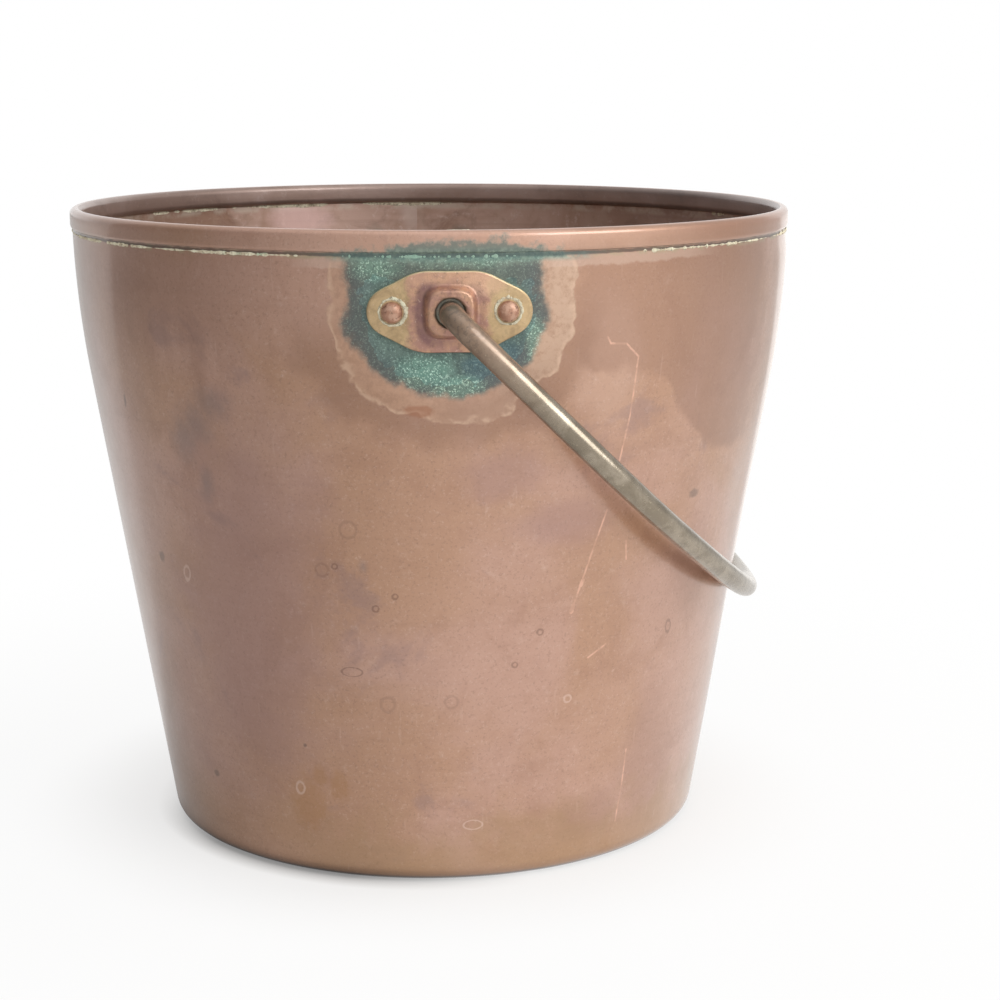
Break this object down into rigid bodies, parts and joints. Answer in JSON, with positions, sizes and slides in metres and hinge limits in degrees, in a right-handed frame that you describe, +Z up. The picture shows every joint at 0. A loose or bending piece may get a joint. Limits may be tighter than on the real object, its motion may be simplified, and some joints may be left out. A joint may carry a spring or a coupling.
{
  "type": "copper pail",
  "caption": "Tapered round copper pail with a rolled rim over wire, riveted brass ears and a swinging brass wire bail, worn and stained with verdigris.",
  "frame": {"origin": "centre of the flat base, on the surface that it stands on", "axes": "+Z up along the pail's axis; the bail swings about the Y axis through the two ears; at rest the bail lies down on the +X side; the ear seen in front is at -Y"},
  "size_m": [0.24, 0.2732, 0.2074],
  "materials": {
    "worn_copper": "worn, dull brown-pink copper with verdigris",
    "rim_wire": "plain drawn iron wire, hidden in the rim",
    "ear_brass": "satin brass, tinted pink at the middle",
    "rivet_copper": "rubbed copper",
    "bail_brass": "dull rubbed brass"
  },
  "bodies": {
    "pail": {"pail_body": "worn_copper", "rim_wire": "rim_wire", "front_ear": "ear_brass", "back_ear": "ear_brass", "front_left_rivet": "rivet_copper", "front_right_rivet": "rivet_copper", "back_left_rivet": "rivet_copper", "back_right_rivet": "rivet_copper"},
    "bail": {"bail": "bail_brass"}
  },
  "joints": [
    {"name": "bail_swing", "type": "hinge", "parent": "pail", "child": "bail", "pos_m": [0, 0, 0.184], "axis": [0, -1, 0], "range_deg": [0, 269]}
  ]
}
